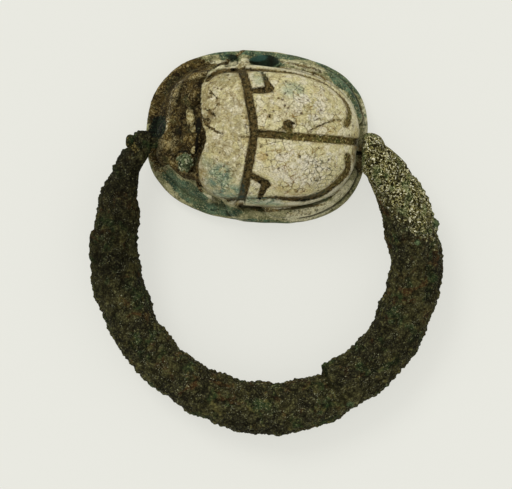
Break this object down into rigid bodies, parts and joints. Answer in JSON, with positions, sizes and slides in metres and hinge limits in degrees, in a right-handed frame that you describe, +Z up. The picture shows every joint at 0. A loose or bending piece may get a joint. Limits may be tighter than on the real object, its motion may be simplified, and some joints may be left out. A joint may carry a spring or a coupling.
{
  "type": "scarab swivel ring",
  "caption": "Finger ring: a carved oval beetle with a flat seal face turns on a pin between the ends of a heavy round hoop.",
  "frame": {"origin": "on the flat seal face, under the middle of the scarab, at the level the ring lies on", "axes": "+X along the pin from the beetle's head to its tail, +Y away from the hoop, +Z up out of the beetle's back"},
  "size_m": [0.0263, 0.0286, 0.0074],
  "materials": {
    "steatite": "worn, crackled cream glaze over carved soft stone, brown dirt in the lines, traces of turquoise",
    "bronze": "rough dark green and brown corrosion crust"
  },
  "bodies": {
    "scarab": {"scarab": "steatite"},
    "hoop": {"shank": "bronze", "swivel_pin": "bronze"}
  },
  "joints": [
    {"name": "hoop_swivel", "type": "hinge", "parent": "scarab", "child": "hoop", "pos_m": [0, -0.0009, 0.00305], "axis": [-1, 0, 0], "continuous": true}
  ]
}
